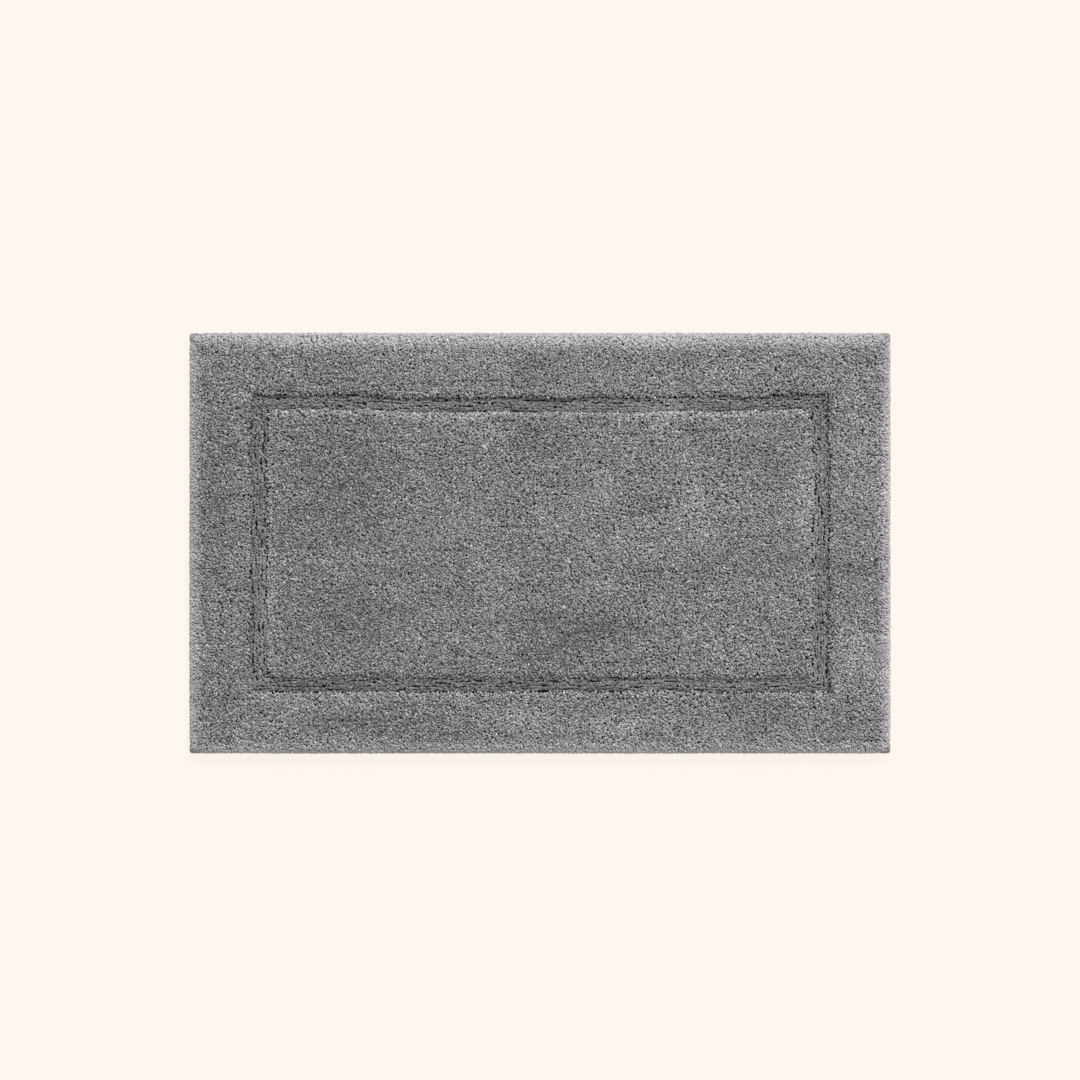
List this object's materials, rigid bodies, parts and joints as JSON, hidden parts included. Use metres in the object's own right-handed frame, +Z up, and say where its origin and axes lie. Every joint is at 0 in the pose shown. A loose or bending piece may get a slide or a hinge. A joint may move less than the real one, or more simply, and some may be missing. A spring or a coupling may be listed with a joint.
{
  "type": "bath mat",
  "caption": "Rectangular tufted cotton bath mat: deep grey cut pile with a low sheared channel running round it like a picture frame, hemmed and latex coated beneath.",
  "frame": {"origin": "centre of the underside, on the floor that the mat lies on", "axes": "+X along the long side, +Y across the mat towards its back edge (the top of the picture), +Z up out of the pile"},
  "size_m": [1, 0.6, 0.022],
  "materials": {
    "pile": "matte",
    "channel_pile": "matte",
    "backing_cloth": "matte",
    "hem_tape": "matte",
    "hem_thread": "satin",
    "latex_coat": "matte",
    "care_label": "satin"
  },
  "bodies": {
    "root": {"latex_coat": "latex_coat", "care_label": "care_label", "hem_tape_front": "hem_tape", "hem_tape_right": "hem_tape", "hem_tape_back": "hem_tape", "hem_tape_left": "hem_tape", "outer_hem_thread": "hem_thread", "inner_hem_thread": "hem_thread", "backing_cloth": "backing_cloth", "corner_fold_front_left": "hem_tape", "corner_fold_front_right": "hem_tape", "corner_fold_back_right": "hem_tape", "corner_fold_back_left": "hem_tape", "border_pile_front": "pile", "border_pile_right": "pile", "border_pile_back": "pile", "border_pile_left": "pile", "channel_pile_front": "channel_pile", "channel_pile_right": "channel_pile", "channel_pile_back": "channel_pile", "channel_pile_left": "channel_pile", "centre_pile": "pile"}
  },
  "joints": []
}
